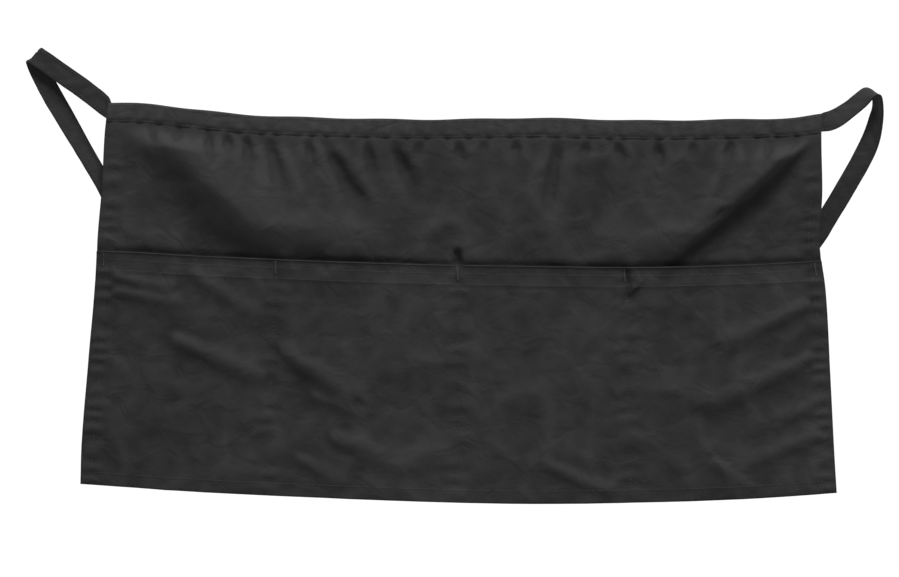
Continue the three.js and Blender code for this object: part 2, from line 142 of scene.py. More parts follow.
# Drape folds, each a crest along a line, in shares of the hem's width and of the drop
FOLDS = table(
    "from_x from_y to_x to_y above below height",
    (0.06, 0.04, 0.31, 0.4, 0.14, 0.11, 1.7),
    (0.985, 0.05, 0.76, 0.41, 0.14, 0.03, 1.35),
    (0.95, 0.09, 0.87, 0.22, 0.05, 0.02, 0.55),
    (0.3, 0.07, 0.35, 0.17, 0.05, 0.03, 0.25),
    (0.63, 0.07, 0.6, 0.2, 0.05, 0.04, 0.2),
)

# Short creases below the band where the cloth is eased into it. Lengths are in millimetres.
PUCKERS = table(
    "at lean reach breadth depth",
    (0.065, 4, 14, 4.5, 1.4),
    (0.105, -2, 10, 4.0, 1.0),
    (0.143, 4, 18, 4.5, 1.8),
    (0.17, 2, 12, 4.0, 1.5),
    (0.197, 3, 18, 4.0, 1.7),
    (0.229, 10, 36, 7.0, 2.6),
    (0.283, 4, 18, 4.5, 1.8),
    (0.303, 28, 42, 8.5, 3.2),
    (0.366, 4, 22, 4.5, 1.5),
    (0.402, 16, 34, 7.0, 2.2),
    (0.44, -3, 12, 4.0, 0.9),
    (0.492, 3, 14, 4.2, 1.6),
    (0.53, -2, 10, 4.0, 0.9),
    (0.572, 2, 14, 4.0, 1.3),
    (0.633, -9, 42, 7.0, 2.8),
    (0.672, -2, 12, 4.2, 1.0),
    (0.715, 3, 14, 4.4, 1.8),
    (0.77, 3, 16, 4.6, 1.9),
    (0.82, 0, 10, 4.0, 1.0),
    (0.873, -2, 14, 4.4, 1.7),
    (0.93, -6, 20, 4.6, 1.4),
)

# Soft creases of the pocket cloth, in the same columns as the drape folds
POCKET_CREASES = table(
    "from_x from_y to_x to_y above below height",
    (0.03, 0.45, 0.1, 0.47, 0.02, 0.018, 0.16),
    (0.03, 0.49, 0.11, 0.505, 0.02, 0.018, 0.15),
    (0.14, 0.44, 0.22, 0.52, 0.04, 0.025, 0.18),
    (0.12, 0.61, 0.24, 0.69, 0.04, 0.03, 0.26),
    (0.26, 0.62, 0.35, 0.72, 0.05, 0.03, 0.28),
    (0.31, 0.74, 0.37, 0.77, 0.03, 0.02, 0.12),
    (0.34, 0.84, 0.42, 0.9, 0.04, 0.03, 0.18),
    (0.29, 0.9, 0.34, 0.95, 0.03, 0.02, 0.14),
    (0.62, 0.9, 0.7, 0.97, 0.03, 0.02, 0.16),
    (0.84, 0.9, 0.88, 0.96, 0.02, 0.02, 0.1),
    (0.97, 0.5, 0.86, 0.58, 0.04, 0.025, 0.24),
    (0.97, 0.64, 0.84, 0.74, 0.04, 0.03, 0.26),
    (0.98, 0.76, 0.93, 0.79, 0.03, 0.02, 0.14),
    (0.98, 0.84, 0.88, 0.9, 0.04, 0.03, 0.2),
)

# Dents where the upright seams pull. Breadths and depths are in millimetres.
DENTS = table(
    "at top foot breadth depth",
    (0.4985, 0.345, 0.388, 3.2, 4.5),
    (0.729, 0.39, 0.475, 3.0, 1.5),
)

HEM_WAVES = table(
    "across reach",
    (0.0, -0.3),
    (0.12, 0.5),
    (0.25, 0.1),
    (0.38, -0.6),
    (0.5, 0.1),
    (0.62, 0.6),
    (0.74, -0.2),
    (0.88, -0.5),
    (1.0, 0.4),
)

POCKET_SEAMS = (0, 0.247, 0.497, 0.727, 1)

# The two ties, from the band's end over the turn at the top to the knot
LEFT_TIE = table(
    "out up back slant turn",
    (1.016, 0.088, 0.0, 64, 0),
    (1.078, 0.148, 0.0, 55, 0),
    (1.148, 0.21, -0.01, 54, 0),
    (1.19, 0.247, -0.03, 48, 0),
    (1.21, 0.258, 0.025, 42, 0),
    (1.2, 0.218, 0.085, 35, 0),
    (1.166, 0.134, 0.11, 30, 8),
    (1.12, 0.033, 0.15, 30, 24),
    (1.072, -0.072, 0.2, 30, 38),
    (1.023, -0.178, 0.27, 31, 42),
    (0.957, -0.33, 0.36, 34, 36),
    (0.817, -0.548, 0.52, 45, 24),
    (0.626, -0.74, 0.7, 56, 10),
    (0.417, -0.883, 0.85, 66, 0),
    (0.209, -0.97, 0.96, 77, 0),
)
RIGHT_TIE = table(
    "out up back slant turn",
    (1.036, 0.035, 0.0, 112, 16),
    (1.078, 0.069, -0.01, 122, 34),
    (1.107, 0.099, -0.02, 128, 38),
    (1.135, 0.129, -0.01, 134, 50),
    (1.154, 0.124, 0.03, 143, 60),
    (1.16, 0.08, 0.08, 150, 62),
    (1.155, 0.032, 0.12, 155, 50),
    (1.142, -0.032, 0.145, 156, 32),
    (1.119, -0.097, 0.165, 153, 12),
    (1.073, -0.2, 0.19, 152, 0),
    (1.027, -0.297, 0.23, 151, 0),
    (0.966, -0.414, 0.31, 145, 0),
    (0.83, -0.6, 0.48, 134, 0),
    (0.63, -0.765, 0.68, 122, 0),
    (0.42, -0.895, 0.84, 111, 0),
    (0.2, -0.975, 0.96, 100, 0),
)


def read_table(rows, key, column, at):
    """A smooth curve through a table's rows, read at values of its key column."""
    keys = np.array([row[key] for row in rows], float)
    values = np.array([row[column] for row in rows], float)
    slopes = np.gradient(values, keys)
    slopes[1:-1] = (values[2:] - values[:-2]) / (keys[2:] - keys[:-2])
    at = np.asarray(at, float)
    i = np.clip(np.searchsorted(keys, at, side="left") - 1, 0, len(keys) - 2)
    span = keys[i + 1] - keys[i]
    s = np.clip((at - keys[i]) / span, 0, 1)
    from_values = (2 * s**3 - 3 * s**2 + 1) * values[i] + (3 * s**2 - 2 * s**3) * values[i + 1]
    from_slopes = (s**3 - 2 * s**2 + s) * slopes[i] + (s**3 - s**2) * slopes[i + 1]
    return from_values + from_slopes * span


def ease(value, low, high):
    """0 below low, 1 above high and smooth between."""
    s = np.clip((np.asarray(value, float) - low) / (high - low), 0, 1)
    return s * s * (3 - 2 * s)


def mix(a, b, share):
    return a + (b - a) * share


# Where the cloth lies, at shares across and down


def cloth_x(across, down):
    extra = HEM_WIDTH - TOP_WIDTH
    left = -TOP_WIDTH / 2 - extra * read_table(SIDE_EDGES, "down", "left", down)
    right = TOP_WIDTH / 2 + extra * read_table(SIDE_EDGES, "down", "right", down)
    return mix(left, right, across)


def cloth_z(across, down):
    rise = {edge: read_table(EDGE_RISES, "across", edge, across) for edge in ("top", "mouth", "hem")}
    above = mix(rise["top"], rise["mouth"], down / MOUTH_SHARE)
    below = mix(rise["mouth"], rise["hem"], (down - MOUTH_SHARE) / (1 - MOUTH_SHARE))
    return TOP_LEVEL + APRON_DROP * (np.where(down < MOUTH_SHARE, above, below) - down)


def band_y(across):
    return -BAND_DEPTH / 2 + BAND_BOW * (2 * across - 1) ** 2


def fold_height(fold, across, down):
    """How far one fold's crest stands forward. It starts narrow and spreads."""
    start = np.array([fold["from_x"] * HEM_WIDTH, fold["from_y"] * APRON_DROP])
    end = np.array([fold["to_x"] * HEM_WIDTH, fold["to_y"] * APRON_DROP])
    length = np.linalg.norm(end - start)
    along = (end - start) / length
    x = across * HEM_WIDTH - start[0]
    y = down * APRON_DROP - start[1]
    travelled = x * along[0] + y * along[1]
    aside = (along[0] * y - along[1] * x) * math.copysign(1, along[0])
    spread = mix(0.55, 1.0, np.clip(travelled / length, 0, 1))
    breadth = np.where(aside < 0, fold["above"], fold["below"]) * APRON_DROP * spread
    beyond = np.maximum(np.maximum(-travelled, travelled - length), 0)
    return FOLD_DEPTH * fold["height"] * np.exp(-((aside / breadth) ** 2) - (beyond / breadth) ** 2)


def pucker_height(across, down):
    """The short creases below the band: each a narrow valley between two low ridges."""
    x = across * TOP_WIDTH
    below = (down - BAND_SHARE) * APRON_DROP
    height = np.zeros(np.broadcast(across, down).shape)
    for pucker in PUCKERS:
        share = below / (1.2 * pucker["reach"] * MM)
        middle = pucker["at"] * TOP_WIDTH + pucker["lean"] * MM * share
        breadth = pucker["breadth"] * MM * mix(0.9, 1.6, np.clip(share, 0, 1))
        q = ((x - middle) / breadth) ** 2
        fade = ease(below, -1 * MM, (4 + 0.5 * pucker["reach"]) * MM) * (1 - ease(share, 0.5, 1.5))
        height -= 1.7 * pucker["depth"] * MM * (1 - 1.1 * q) * np.exp(-q) * fade
    return height


def ripple(across, down, wavelength, seed):
    """Smooth random waves over the flat cloth, between -1 and 1."""
    x = (across * HEM_WIDTH / wavelength).ravel()
    y = (down * APRON_DROP / wavelength).ravel()
    values = [noise.noise(Vector((a, b, seed))) for a, b in zip(x, y)]
    return np.array(values).reshape(across.shape)


def dent_height(across, down):
    """The pulls at the tops of two of the upright seams."""
    height = 0
    for dent in DENTS:
        beside = (across - dent["at"]) * HEM_WIDTH / (dent["breadth"] * MM)
        ends = ease(down, dent["top"] - 0.01, dent["top"] + 0.01)
        ends = ends * (1 - ease(down, dent["foot"] - 0.01, dent["foot"] + 0.01))
        height = height - dent["depth"] * MM * np.exp(-(beside**2)) * ends
    return height


def hem_pucker(across, down):
    """The small even ripples that topstitching pulls into the side hems."""
    from_side = np.minimum(across, 1 - across) * HEM_WIDTH
    window = np.exp(-(((from_side - SIDE_HEM * 0.8) / (7 * MM)) ** 2))
    phase = 2 * math.pi * down * APRON_DROP / (12 * MM)
    wander = 1.6 * np.sin(phase * 0.23 + 1) + np.sin(phase * 0.11)
    return 0.6 * MM * np.sin(phase + wander) * window * ease(down, 0.1, 0.2)


def seam_pucker(across, down):
    """The ripples along the upright pocket seams."""
    height = 0
    phase = 2 * math.pi * down * APRON_DROP / (15 * MM)
    for number, seam in enumerate(POCKET_SEAMS[1:-1]):
        window = np.exp(-(((across - seam) * HEM_WIDTH / (9 * MM)) ** 2))
        height = height + 0.4 * MM * np.sin(phase + 1.3 * np.sin(phase * 0.3 + number)) * window
    return height * ease(down, MOUTH_SHARE, MOUTH_SHARE + 0.03)


def shared_forward(across, down):
    """How far both layers stand forward of the flat apron together."""
    across, down = np.broadcast_arrays(np.asarray(across, float), np.asarray(down, float))
    loose = ease(down, BAND_SHARE, BAND_SHARE * 2.2)
    sides = ease(across, 0, 0.03) * (1 - ease(across, 0.97, 1))
    held = mix(1, 0.2, ease(down, 0.74 * MOUTH_SHARE, MOUTH_SHARE + 0.01))
    held = held * (1 - ease(down, MOUTH_SHARE, 0.6))
    forward = pucker_height(across, down)
    for fold in FOLDS:
        forward = forward + loose * held * mix(0.35, 1, sides) * fold_height(fold, across, down)
    forward = forward + WAVE_DEPTH * read_table(HEM_WAVES, "across", "reach", across) * down**2
    stiff = mix(0.35, 1, ease(np.minimum(across, 1 - across) * HEM_WIDTH, 0.5 * SIDE_HEM, 2 * SIDE_HEM))
    uneven = 2.2 * ripple(across, down, 85 * MM, 3.1) + 1.3 * ripple(across, down, 31 * MM, 7.7)
    fine = 0.5 * ripple(across, down, 13 * MM, 17.2)
    crumple = 0.5 - np.abs(ripple(across, down, 48 * MM, 12.4)) * 1.8
    forward = forward + loose * stiff * MM * (uneven + fine + 1.8 * crumple)
    forward = forward + dent_height(across, down)
    below = (down - BAND_SHARE) * APRON_DROP
    forward = forward + 0.85 * MM * ease(below, -0.8 * MM, 0.3 * MM) * np.exp(-((below / (14 * MM)) ** 2))
    return forward + hem_pucker(across, down) + seam_pucker(across, down)


def apron_y(across, down):
    return band_y(across) - shared_forward(across, down)


def pocket_gap(across, down):
    """How far the pocket cloth stands off the apron behind it."""
    seams = np.array(POCKET_SEAMS)
    right = np.clip(np.searchsorted(seams, across, side="left"), 1, len(seams) - 1)
    share = np.clip((across - seams[right - 1]) / (seams[right] - seams[right - 1]), 0, 1)
    depth = np.clip((down - MOUTH_SHARE) / (1 - MOUTH_SHARE), 0, 1)
    belly = np.sin(math.pi * share) ** 1.2
    close = np.maximum(1 - depth**1.6, 0)
    crease = 1.55 * sum(fold_height(fold, across, down) for fold in POCKET_CREASES)
    near_seam = np.clip(np.sin(math.pi * share) * 3, 0, 1)
    uneven = 0.5 * MM * (ripple(across, down, 38 * MM, 21.3) + 0.5) * near_seam
    spread = ease(1 - depth, 0, 0.08)
    return SEWN_GAP + 0.8 * POCKET_GAPE * belly * close + (crease + np.maximum(uneven, 0)) * near_seam * spread


def apron_front(across, down):
    """The apron's front, pressed back a little where the pocket's mouth lies on it."""
    from_mouth = (np.asarray(down, float) - MOUTH_SHARE) * APRON_DROP
    pressed = PRESSED_IN * np.exp(-((from_mouth / (3.5 * MM)) ** 2))
    return apron_y(across, down) - CLOTH / 2 + pressed


def pocket_front(across, down):
    """The pocket cloth's front. The hem of its mouth is thicker, and its folded edge stands off a little."""
    below_mouth = (np.asarray(down, float) - MOUTH_SHARE) * APRON_DROP
    hem = HEM_RISE * (1 - ease(below_mouth, MOUTH_HEM - 0.5 * MM, MOUTH_HEM + 1.5 * MM))
    flare = LIP_FLARE * np.exp(-np.maximum(below_mouth, 0) / (1.6 * MM))
    return apron_y(across, down) - 1.5 * CLOTH - pocket_gap(across, down) - hem - flare


# Meshes


def shares(*stretches):
    """Shares in order, from stretches of (start, end, count), with no place twice."""
    lists = [np.linspace(start, end, count + 1) for start, end, count in stretches]
    return np.unique(np.round(np.concatenate(lists), 6))


def cloth_grid(name, columns, rows, place):
    """A grid of cloth laid in place. place gives x, y and z for shares across and down."""
    bpy.ops.object.select_all(action="DESELECT")
    bpy.ops.mesh.primitive_grid_add(
        x_subdivisions=len(columns) - 1, y_subdivisions=len(rows) - 1, size=1, location=(0, 0, 0)
    )
    piece = bpy.context.object
    piece.name = piece.data.name = name
    flat = np.empty(len(piece.data.vertices) * 3)
    piece.data.vertices.foreach_get("co", flat)
    flat = flat.reshape(-1, 3)
    column = np.rint((flat[:, 0] + 0.5) * (len(columns) - 1)).astype(int)
    row = np.rint((0.5 - flat[:, 1]) * (len(rows) - 1)).astype(int)
    across, down = columns[column], rows[row]
    spots = np.stack(place(across, down), axis=1)
    piece.data.vertices.foreach_set("co", spots.ravel())
    return piece, across, down


def set_uv(piece, across, down, width, length):
    """A UV map in metres over the flat cloth, for the weave."""
    layer = piece.data.uv_layers[0]
    corner = np.empty(len(piece.data.loops), int)
    piece.data.loops.foreach_get("vertex_index", corner)
    places = np.stack([across[corner] * width, -down[corner] * length], axis=1)
    layer.data.foreach_set("uv", places.ravel())
    layer.name = "flat_cloth"


def set_wear_and_shade(piece, wear_and_shade):
    """How much the cloth's colour is changed at each point, from -1, darkened by painted shade, to 1, lighter
    where worn.
    """
    field = piece.data.attributes.new("wear_and_shade", "FLOAT", "POINT")
    field.data.foreach_set("value", np.clip(np.asarray(wear_and_shade, float), -1, 1))


def painted_shade_patches(across, down):
    """Painted shade, where the cloth is made a little darker: beside the right hem, and over the left pocket,
    the side further from the light.
    """
    beside = ((1 - across) * HEM_WIDTH - 11 * MM) / (9 * MM)
    strip = np.exp(-(beside**2)) * ease(down, 0.12, 0.26) * (1 - ease(down, 0.52, 0.7))
    left = (1 - ease(across, 0.08, 0.42)) * ease(down, MOUTH_SHARE, 0.55)
    return 0.5 * strip + 0.24 * left


def relief_wear_and_shade(front, columns, rows):
    """Lighter worn crests, and painted shade that darkens the valleys: how far the cloth stands forward of what
    is round it.
    The grid's points run row by row."""
    field = -front.reshape(len(rows), len(columns))
    around = field.copy()
    for _ in range(12):
        padded = np.pad(around, 1, mode="edge")
        around = (padded[:-2, 1:-1] + padded[2:, 1:-1] + padded[1:-1, :-2] + padded[1:-1, 2:]) / 4
    return np.clip((field - around) / (0.6 * MM), -0.5, 0.5).ravel()


def cloth_wear_and_shade(front, across, down, columns, rows):
    """Worn crests of the apron's and the pocket's cloth, with painted shade in its valleys, along its cut edges
    and in darker patches.
    """
    from_side = np.minimum(across, 1 - across) * HEM_WIDTH
    # Painted shade: a thin dark line along the side and bottom edges.
    edge = np.exp(-from_side / (0.8 * MM)) + np.exp(-(1 - down) * APRON_DROP / (0.8 * MM))
    return relief_wear_and_shade(front, columns, rows) - 0.55 * edge - painted_shade_patches(across, down)


def tie_edge_shade(across):
    # Painted shade: the tie is made darker along both its edges.
    return -0.6 * np.exp(-np.minimum(across, 1 - across) * TIE_WIDTH / (1.6 * MM))


def give_thickness(piece, thickness, layers):
    """Gives a sheet its wall, away from its front. layers is the share of it at each point."""
    group = piece.vertex_groups.new(name="layers")
    for weight in np.unique(layers):
        group.add(np.flatnonzero(layers == weight).tolist(), float(weight), "REPLACE")
    wall = piece.modifiers.new("wall", "SOLIDIFY")
    wall.thickness = thickness
    wall.offset = -1
    wall.vertex_group = "layers"
    edge = piece.modifiers.new("edge", "BEVEL")
    edge.width = 0.28 * MM
    edge.segments = 2
    edge.limit_method = "ANGLE"
    edge.angle_limit = math.radians(60)
    bpy.context.view_layer.objects.active = piece
    piece.select_set(True)
    for modifier in ("wall", "edge"):
        bpy.ops.object.modifier_apply(modifier=modifier)
    piece.vertex_groups.clear()
    bpy.ops.object.shade_smooth_by_angle(angle=math.radians(50))


def finish_piece(piece, material, slot, *nodes):
    piece.data.materials.clear()
    piece.data.materials.append(material)
    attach(piece, "root")
    if nodes:
        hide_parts(*nodes)


# Materials


def add_node(tree, kind, settings=None, **inputs):
    node = tree.nodes.new(kind)
    for name, value in (settings or {}).items():
        setattr(node, name, value)
    for name, value in inputs.items():
        socket = node.inputs[name.replace("_", " ")]
        if isinstance(value, bpy.types.NodeSocket):
            tree.links.new(value, socket)
        else:
            socket.default_value = value
    return node


def calculate(tree, operation, a, b=0.0, c=None):
    node = tree.nodes.new("ShaderNodeMath")
    node.operation = operation
    for i, value in enumerate((a, b) if c is None else (a, b, c)):
        if isinstance(value, bpy.types.NodeSocket):
            tree.links.new(value, node.inputs[i])
        else:
            node.inputs[i].default_value = value
    return node.outputs[0]


def twill(name, shade, sheen=0.25):
    """Black cotton twill: slanting ribs, uneven dye and a soft nap, lighter where the cloth is worn and darker
    where painted shade is laid on it.
    """
    material = bpy.data.materials.new(name)
    material.use_nodes = True
    tree = material.node_tree
    shader = tree.nodes["Principled BSDF"]
    flat = add_node(tree, "ShaderNodeUVMap", {"uv_map": "flat_cloth"}).outputs["UV"]
    split = add_node(tree, "ShaderNodeSeparateXYZ", Vector=flat)
    x, y = split.outputs["X"], split.outputs["Y"]
    waver = add_node(tree, "ShaderNodeTexNoise", Vector=flat, Scale=240.0, Detail=2.0).outputs["Fac"]
    turn = 2 * math.pi / RIB_PITCH
    slanted = calculate(tree, "MULTIPLY_ADD", y, 0.62 * turn, calculate(tree, "MULTIPLY", x, 0.78 * turn))
    ribs = calculate(tree, "SINE", calculate(tree, "MULTIPLY_ADD", waver, 1.8, slanted))
    crossing = calculate(tree, "SINE", calculate(tree, "MULTIPLY", y, 1.9 * turn))
    weave = calculate(tree, "MULTIPLY_ADD", crossing, 0.35, ribs)
    fuzz = add_node(tree, "ShaderNodeTexNoise", Vector=flat, Scale=1500.0, Detail=3.0).outputs["Fac"]
    relief = calculate(tree, "MULTIPLY_ADD", fuzz, 1.4, weave)
    slub = add_node(tree, "ShaderNodeTexNoise", Vector=flat, Scale=70.0, Detail=5.0, Roughness=0.65)
    relief = calculate(tree, "MULTIPLY_ADD", slub.outputs["Fac"], 1.5, relief)
    crinkle = add_node(tree, "ShaderNodeTexNoise", Vector=flat, Scale=52.0, Detail=2.5, Roughness=0.5)
    crinkle.inputs["Distortion"].default_value = 0.6
    rumple = add_node(tree, "ShaderNodeBump", Height=crinkle.outputs["Fac"], Strength=0.7, Distance=3.2 * MM)
    bump = add_node(tree, "ShaderNodeBump", Height=relief, Strength=0.55, Distance=0.09 * MM)
    tree.links.new(rumple.outputs["Normal"], bump.inputs["Normal"])
    dye = add_node(tree, "ShaderNodeTexNoise", Vector=flat, Scale=9.0, Detail=4.0, Roughness=0.6)
    uneven = add_node(tree, "ShaderNodeMapRange", Value=dye.outputs["Fac"], From_Min=0.3, From_Max=0.7)
    uneven.inputs["To Min"].default_value = 0.86
    uneven.inputs["To Max"].default_value = 1.14
    grain = calculate(tree, "MULTIPLY_ADD", weave, 0.13, 1.0)
    speckle = calculate(tree, "MULTIPLY_ADD", fuzz, 0.5, 0.75)
    # The colour is lightened where worn and darkened by painted shade, as the point attribute gives.
    wear_and_shade_fac = add_node(tree, "ShaderNodeAttribute", {"attribute_name": "wear_and_shade"}).outputs["Fac"]
    patchy = calculate(tree, "MULTIPLY", wear_and_shade_fac, slub.outputs["Fac"])
    level = calculate(tree, "MULTIPLY", uneven.outputs["Result"], grain)
    level = calculate(tree, "MULTIPLY", level, speckle)
    level = calculate(tree, "MULTIPLY_ADD", patchy, 0.9, level)
    colour = add_node(tree, "ShaderNodeVectorMath", {"operation": "SCALE"})
    colour.inputs[0].default_value = (shade, shade, shade * 1.01)
    tree.links.new(level, colour.inputs["Scale"])
    tree.links.new(colour.outputs["Vector"], shader.inputs["Base Color"])
    rough = calculate(tree, "MULTIPLY_ADD", slub.outputs["Fac"], 0.2, 0.72)
    tree.links.new(rough, shader.inputs["Roughness"])
    tree.links.new(bump.outputs["Normal"], shader.inputs["Normal"])
    shader.inputs["Specular IOR Level"].default_value = 0.16
    shader.inputs["Sheen Weight"].default_value = sheen
    shader.inputs["Sheen Roughness"].default_value = 0.45
    shader.inputs["Sheen Tint"].default_value = (0.09, 0.09, 0.092, 1)
    return material


def thread_material(name, shade):
    """Twisted black thread, a little shinier than the cloth."""
    material = bpy.data.materials.new(name)
    material.use_nodes = True
    tree = material.node_tree
    shader = tree.nodes["Principled BSDF"]
    place = add_node(tree, "ShaderNodeTexCoord").outputs["Object"]
    twist = add_node(tree, "ShaderNodeTexNoise", Vector=place, Scale=2600.0, Detail=2.0).outputs["Fac"]
    level = calculate(tree, "MULTIPLY_ADD", twist, 0.9, 0.55)
    colour = add_node(tree, "ShaderNodeVectorMath", {"operation": "SCALE"})
    colour.inputs[0].default_value = (shade, shade, shade)
    tree.links.new(level, colour.inputs["Scale"])
    tree.links.new(colour.outputs["Vector"], shader.inputs["Base Color"])
    bump = add_node(tree, "ShaderNodeBump", Height=twist, Strength=0.4, Distance=0.05 * MM)
    tree.links.new(bump.outputs["Normal"], shader.inputs["Normal"])
    shader.inputs["Roughness"].default_value = 0.5
    shader.inputs["Specular IOR Level"].default_value = 0.4
    return material


# The apron and its pockets


def apron_columns():
    return shares((0, 0.03, 14), (0.03, 0.97, 262), (0.97, 1, 14))


def make_apron_cloth():
    columns = apron_columns()
    under_band = (BAND_WALL + SEWN_GAP) / APRON_DROP
    rows = shares(
        (under_band, BAND_SHARE, 3), (BAND_SHARE, 0.2, 36), (0.2, MOUTH_SHARE, 24), (MOUTH_SHARE, 1, 50)
    )

    def place(across, down):
        return cloth_x(across, down), apron_front(across, down), cloth_z(across, down)

    piece, across, down = cloth_grid("apron_cloth", columns, rows, place)
    set_uv(piece, across, down, HEM_WIDTH, APRON_DROP)
    set_wear_and_shade(piece, cloth_wear_and_shade(apron_front(across, down), across, down, columns, rows))
    from_side = np.minimum(across, 1 - across) * HEM_WIDTH
    double = (from_side < SIDE_HEM) | ((1 - down) * APRON_DROP < BOTTOM_HEM)
    double &= down > BAND_SHARE * 1.05
    give_thickness(piece, 2 * CLOTH, np.where(double, 1.0, 0.5))
    finish_piece(piece, APRON_TWILL, "apron_twill", "upper_panel", "lower_panel")


def make_pocket_cloth():
    columns = apron_columns()
    hem_share = MOUTH_HEM / APRON_DROP
    fold_share = 2 * MM / APRON_DROP
    hem_foot = MOUTH_SHARE + hem_share - 0.5 * fold_share
    lip_foot = MOUTH_SHARE + fold_share
    hem_end = hem_foot + fold_share
    rows = shares((MOUTH_SHARE, lip_foot, 7), (lip_foot, hem_foot, 8), (hem_foot, hem_end, 3), (hem_end, 1, 86))

    def place(across, down):
        return cloth_x(across, down), pocket_front(across, down), cloth_z(across, down)

    piece, across, down = cloth_grid("pocket_cloth", columns, rows, place)
    set_uv(piece, across, down, HEM_WIDTH, APRON_DROP)
    # Painted shadow of the gap at the pocket's mouth: the cloth is made darker along its folded lip.
    lip = np.exp(-(down - MOUTH_SHARE) * APRON_DROP / (1.1 * MM))
    set_wear_and_shade(piece, cloth_wear_and_shade(pocket_front(across, down), across, down, columns, rows) - lip)
    give_thickness(piece, 2 * CLOTH, np.where(down < hem_foot + 0.1 * fold_share, 0.7, 0.5))
    finish_piece(piece, POCKET_TWILL, "apron_twill", *[f"pocket_panel_{number}" for number in (1, 2, 3, 4)])


def band_swell(below):
    """How far the band's front stands out: it swells in the middle and is sewn in at its foot."""
    share = np.asarray(below, float) / BAND_HEIGHT
    sewn = (BAND_WALL - 0.4 * MM) * ease(share, 0.7, 0.97)
    return BAND_DEPTH / 2 + 0.6 * MM * np.sin(math.pi * np.clip(share, 0, 1)) ** 0.6 - sewn


def band_outline():
    """The band's section: a folded strip with a puffed front. Depth, and how far below its top."""
    out = BAND_DEPTH / 2
    slot = out - BAND_WALL
    front = [(-band_swell(BAND_HEIGHT * s), BAND_HEIGHT * s) for s in np.linspace(0.08, 0.98, 14)]
    back = [(out, BAND_HEIGHT * s) for s in np.linspace(0.98, 0.08, 8)]
    foot = 1.0 * BAND_HEIGHT
    lip = BAND_WALL / 2
    return (
        [(0, 0), (-out * 0.6, 0.15 * MM), (-out * 0.92, 0.6 * MM)]
        + front
        + [(-slot - lip * 0.5, foot), (-slot - lip * 0.2, foot), (-slot, foot - 0.2 * MM)]
        + [(-slot, BAND_HEIGHT * 0.5), (-slot, BAND_WALL), (slot, BAND_WALL), (slot, BAND_HEIGHT * 0.5)]
        + [(slot, foot - 0.2 * MM), (slot + lip * 0.3, foot), (out - 0.3 * MM, foot)]
        + back
        + [(out * 0.92, 0.6 * MM), (out * 0.6, 0.15 * MM)]
    )


def sewn_down(below):
    """How much of the puckers is left at a height of the band's front. Its foot is sewn flat."""
    return 1 - 0.7 * ease(below, 0.85 * BAND_HEIGHT, BAND_HEIGHT)


def band_pucker(across, below):
    """Small crinkles where the band is sewn down over the eased cloth."""
    x = across * TOP_WIDTH
    lean = below / (9 * MM) * np.sin(x / (23 * MM))
    height = 0.7 * np.sin(2 * math.pi * x / (16 * MM) + 2.4 * np.sin(x / (31 * MM)) + lean)
    height = height + 0.5 * np.sin(2 * math.pi * x / (8.5 * MM) + 3 * np.sin(x / (47 * MM)) - lean)
    return height * MM * mix(0.45, 1.0, ease(below, 0.2 * BAND_HEIGHT, 0.75 * BAND_HEIGHT))


def make_waistband():
    outline = np.array(band_outline() + band_outline()[:1])
    columns = shares((0, 1, 340))
    rows = np.arange(len(outline)) / (len(outline) - 1)

    def place(across, down):
        corner = outline[np.rint(down * (len(outline) - 1)).astype(int)]
        depth, below = corner[:, 0], corner[:, 1]
        front = np.clip(-depth / (BAND_DEPTH / 2), 0, 1) * ease(below, 0, 3 * MM)
        front = front * sewn_down(below)
        outer = front * (np.abs(depth) > BAND_DEPTH / 2 - BAND_WALL * 0.9)
        depth = depth - band_pucker(across, below) * outer
        nudge = 0.35 * MM * np.sin(across * TOP_WIDTH / (11 * MM)) * (below < 1 * MM)
        share = below / APRON_DROP
        return cloth_x(across, share), band_y(across) + depth, cloth_z(across, share) + nudge

    piece, across, down = cloth_grid("waistband_cloth", columns, rows, place)
    around = np.concatenate([[0], np.cumsum(np.linalg.norm(np.diff(outline, axis=0), axis=1))])
    set_uv(piece, across, down, TOP_WIDTH, around[-1])
    below = outline[np.rint(down * (len(outline) - 1)).astype(int)][:, 1]
    # Painted shade: a thin dark line along the band's top and along its sewn foot.
    edge = np.exp(-below / (1.0 * MM)) + 0.7 * np.exp(-(BAND_HEIGHT - below) / (0.8 * MM))
    set_wear_and_shade(piece, -0.5 * edge)
    bpy.context.view_layer.objects.active = piece
    piece.select_set(True)
    bpy.ops.object.mode_set(mode="EDIT")
    bpy.ops.mesh.select_all(action="SELECT")
    bpy.ops.mesh.remove_doubles(threshold=0.00001)
    bpy.ops.mesh.select_all(action="DESELECT")
    bpy.ops.mesh.select_non_manifold()
    bpy.ops.mesh.edge_face_add()
    bpy.ops.mesh.select_all(action="SELECT")
    bpy.ops.mesh.normals_make_consistent(inside=False)
    bpy.ops.object.mode_set(mode="OBJECT")
    bpy.ops.object.shade_smooth_by_angle(angle=math.radians(50))
    finish_piece(piece, BAND_TWILL_PAINTED_LIGHT, "band_twill", "waistband")


# The ties


def across_tie(slant, turn):
    flat = np.cos(np.radians(turn))
    rise = np.radians(slant)
    return np.stack([np.cos(rise) * flat, np.sin(np.radians(turn)), np.sin(rise) * flat], axis=-1)


